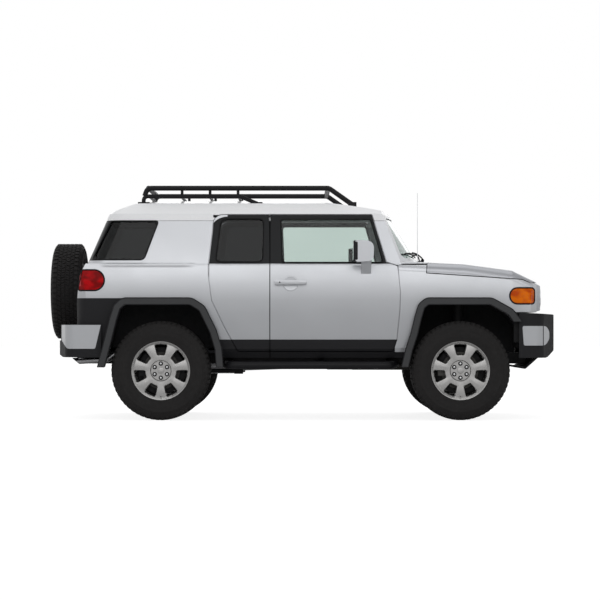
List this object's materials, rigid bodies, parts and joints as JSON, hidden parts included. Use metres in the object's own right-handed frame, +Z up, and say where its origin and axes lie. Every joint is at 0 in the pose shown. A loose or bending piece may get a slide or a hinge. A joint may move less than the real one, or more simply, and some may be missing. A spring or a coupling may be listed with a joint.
{
  "type": "lifted off-road 4x4",
  "caption": "Lifted off-road 4x4 with a two-tone boxy cab, clamshell side doors, side-hinged tailgate with spare wheel, bonnet, steering and turning wheels.",
  "frame": {"origin": "on the ground under the middle of the overall box", "axes": "+X forward, +Y to the vehicle's left, +Z up"},
  "size_m": [4.6526, 2.25, 2.125],
  "materials": {
    "tyre": "matte",
    "alloy": "satin",
    "silver_paint": "metallic gloss",
    "white_paint": "gloss",
    "black_plastic": "grained",
    "rack_coat": "powder coat",
    "frame_coat": "chassis black",
    "cast_iron": "rough",
    "steel": "satin",
    "clear_glass": "polished",
    "tinted_glass": "polished",
    "red_lens": "gloss",
    "amber_lens": "gloss",
    "lamp_lens": "gloss",
    "cabin_plastic": "grained",
    "seat_cloth": "woven",
    "floor_liner": "matte"
  },
  "bodies": {
    "body": {"body_shell": "silver_paint", "front_wings": "silver_paint", "bumper_caps": "silver_paint", "roof_panel": "white_paint", "front_mask": "black_plastic", "front_bumper": "black_plastic", "rear_bumper": "black_plastic", "arch_flares": "black_plastic", "cowl_panel": "black_plastic", "grille": "black_plastic", "arch_liners": "floor_liner", "roof_rack": "rack_coat", "side_steps": "rack_coat", "aerial": "rack_coat", "chassis_frame": "frame_coat", "crossmembers": "frame_coat", "front_suspension": "frame_coat", "rear_axle": "frame_coat", "steering_rack": "frame_coat", "engine_block": "cast_iron", "drivetrain": "cast_iron", "exhaust": "steel", "fuel_tank": "steel", "rear_prop_shaft": "steel", "windscreen": "clear_glass", "fixed_rear_glass": "tinted_glass", "tail_lamps": "red_lens", "corner_lamps": "amber_lens", "headlamps": "lamp_lens", "dashboard": "cabin_plastic", "floor_pan": "cabin_plastic", "front_seats": "seat_cloth", "rear_seat": "seat_cloth"},
    "front_door_right": {"front_door_right": "silver_paint", "front_door_glass_right": "clear_glass", "door_mirror_right": "silver_paint", "door_handle_right": "silver_paint"},
    "rear_door_right": {"rear_door_right": "silver_paint", "rear_door_glass_right": "tinted_glass"},
    "knuckle_right": {"knuckle_right": "cast_iron"},
    "front_door_left": {"front_door_left": "silver_paint", "front_door_glass_left": "clear_glass", "door_mirror_left": "silver_paint", "door_handle_left": "silver_paint"},
    "rear_door_left": {"rear_door_left": "silver_paint", "rear_door_glass_left": "tinted_glass"},
    "knuckle_left": {"knuckle_left": "cast_iron"},
    "tailgate": {"tailgate": "silver_paint", "spare_tyre": "tyre", "spare_wheel": "alloy"},
    "bonnet": {"bonnet": "silver_paint"},
    "steering_wheel": {"steering_wheel": "cabin_plastic"},
    "wheel_front_right": {"tyre_front_right": "tyre", "wheel_front_right": "alloy"},
    "wheel_front_left": {"tyre_front_left": "tyre", "wheel_front_left": "alloy"},
    "wheel_rear_right": {"tyre_rear_right": "tyre", "wheel_rear_right": "alloy"},
    "wheel_rear_left": {"tyre_rear_left": "tyre", "wheel_rear_left": "alloy"}
  },
  "joints": [
    {"name": "front_door_right_hinge", "type": "hinge", "parent": "body", "child": "front_door_right", "pos_m": [0.87775, -0.893, 1], "axis": [0, 0.0698, 0.9976], "range_deg": [0, 65]},
    {"name": "front_door_left_hinge", "type": "hinge", "parent": "body", "child": "front_door_left", "pos_m": [0.87775, 0.893, 1], "axis": [0, 0.0698, -0.9976], "range_deg": [0, 65]},
    {"name": "rear_door_right_hinge", "type": "hinge", "parent": "body", "child": "rear_door_right", "pos_m": [-0.84825, -0.893, 1], "axis": [0, -0.0698, -0.9976], "range_deg": [0, 80]},
    {"name": "rear_door_left_hinge", "type": "hinge", "parent": "body", "child": "rear_door_left", "pos_m": [-0.84825, 0.893, 1], "axis": [0, -0.0698, 0.9976], "range_deg": [0, 80]},
    {"name": "tailgate_hinge", "type": "hinge", "parent": "body", "child": "tailgate", "pos_m": [-2.05325, 0.576, 1], "axis": [0, 0, -1], "range_deg": [0, 90]},
    {"name": "bonnet_hinge", "type": "hinge", "parent": "body", "child": "bonnet", "pos_m": [1.12875, 0, 1.44], "axis": [0, -1, 0], "range_deg": [0, 50]},
    {"name": "steer_right", "type": "hinge", "parent": "body", "child": "knuckle_right", "pos_m": [1.41725, -0.72, 0.445], "axis": [0, 0, 1], "range_deg": [-30, 30]},
    {"name": "steer_left", "type": "hinge", "parent": "body", "child": "knuckle_left", "pos_m": [1.41725, 0.72, 0.445], "axis": [0, 0, 1], "range_deg": [-30, 30]},
    {"name": "steering_wheel_turn", "type": "hinge", "parent": "body", "child": "steering_wheel", "pos_m": [0.41575, 0.372, 1.205], "axis": [-0.9138, 0, 0.4061], "range_deg": [-450, 450]},
    {"name": "wheel_front_right_spin", "type": "hinge", "parent": "knuckle_right", "child": "wheel_front_right", "pos_m": [1.41725, -0.8025, 0.445], "axis": [0, 1, 0], "continuous": true},
    {"name": "wheel_front_left_spin", "type": "hinge", "parent": "knuckle_left", "child": "wheel_front_left", "pos_m": [1.41725, 0.8025, 0.445], "axis": [0, 1, 0], "continuous": true},
    {"name": "wheel_rear_right_spin", "type": "hinge", "parent": "body", "child": "wheel_rear_right", "pos_m": [-1.27275, -0.8025, 0.445], "axis": [0, 1, 0], "continuous": true},
    {"name": "wheel_rear_left_spin", "type": "hinge", "parent": "body", "child": "wheel_rear_left", "pos_m": [-1.27275, 0.8025, 0.445], "axis": [0, 1, 0], "continuous": true}
  ],
  "couplings": [
    {"joint": "steer_left", "follows": "steer_right", "ratio": 1},
    {"joint": "steering_wheel_turn", "follows": "steer_right", "ratio": 15}
  ]
}
